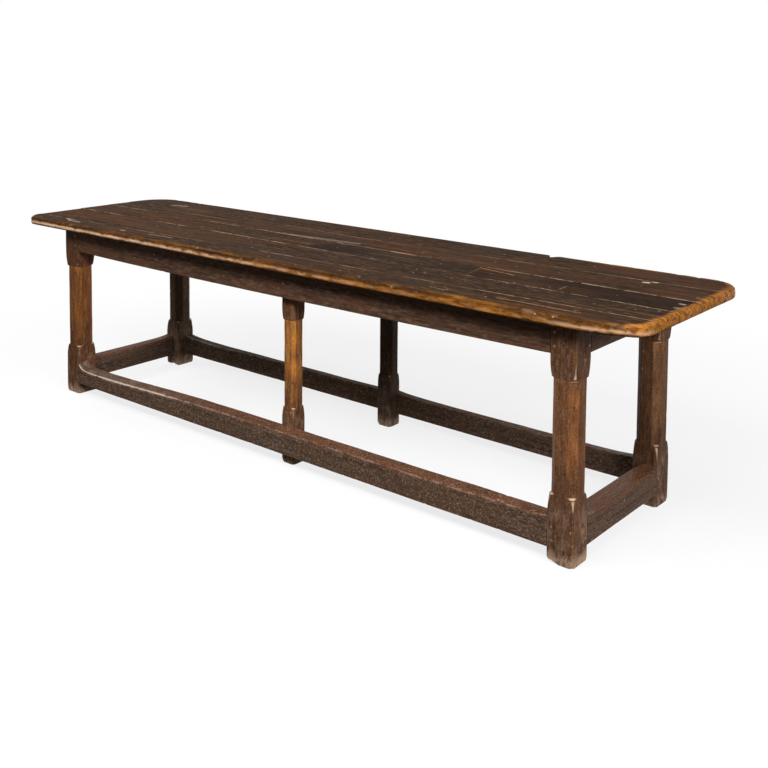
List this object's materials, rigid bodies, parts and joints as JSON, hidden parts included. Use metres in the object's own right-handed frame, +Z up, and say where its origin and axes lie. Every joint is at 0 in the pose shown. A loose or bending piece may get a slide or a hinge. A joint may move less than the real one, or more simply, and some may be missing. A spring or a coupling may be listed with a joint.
{
  "type": "refectory table",
  "caption": "Long oak refectory table with a plank top, stop-chamfered legs at the corners and mid-length, and worn low stretchers all round.",
  "frame": {"origin": "on the floor under the middle of the leg frame, which is also under the middle of the top", "axes": "X along the table, Y across it, +Z up; the tight front left corner of the top is at -X, -Y"},
  "size_m": [2.955, 0.767, 0.76],
  "materials": {
    "top_oak": "waxed dark oak, worn satin, amber along the edges",
    "patch_oak": "darker repair oak, waxed",
    "leg_oak": "worn oak, amber where it is rubbed",
    "apron_oak": "dull aged oak",
    "stretcher_oak": "foot-worn oak, grey-brown sides and redder tops",
    "bearer_oak": "dry unfinished oak",
    "peg_oak": "dark end grain"
  },
  "bodies": {
    "root": {"plank_front": "top_oak", "plank_second": "top_oak", "plank_third_left": "top_oak", "plank_third_middle": "patch_oak", "plank_third_right": "top_oak", "plank_fourth": "top_oak", "plank_back": "top_oak", "top_wedge": "patch_oak", "leg_front_left": "leg_oak", "leg_front_right": "leg_oak", "leg_back_left": "leg_oak", "leg_back_right": "leg_oak", "leg_front_middle": "leg_oak", "leg_back_middle": "leg_oak", "apron_front": "apron_oak", "apron_back": "apron_oak", "apron_left": "apron_oak", "apron_right": "apron_oak", "stretcher_front": "stretcher_oak", "stretcher_back": "stretcher_oak", "stretcher_left": "stretcher_oak", "stretcher_right": "stretcher_oak", "bearer_left": "bearer_oak", "bearer_middle": "bearer_oak", "bearer_right": "bearer_oak", "pegs_apron_joints": "peg_oak", "pegs_stretcher_joints": "peg_oak", "pegs_middle_legs": "peg_oak", "pegs_top": "peg_oak"}
  },
  "joints": []
}
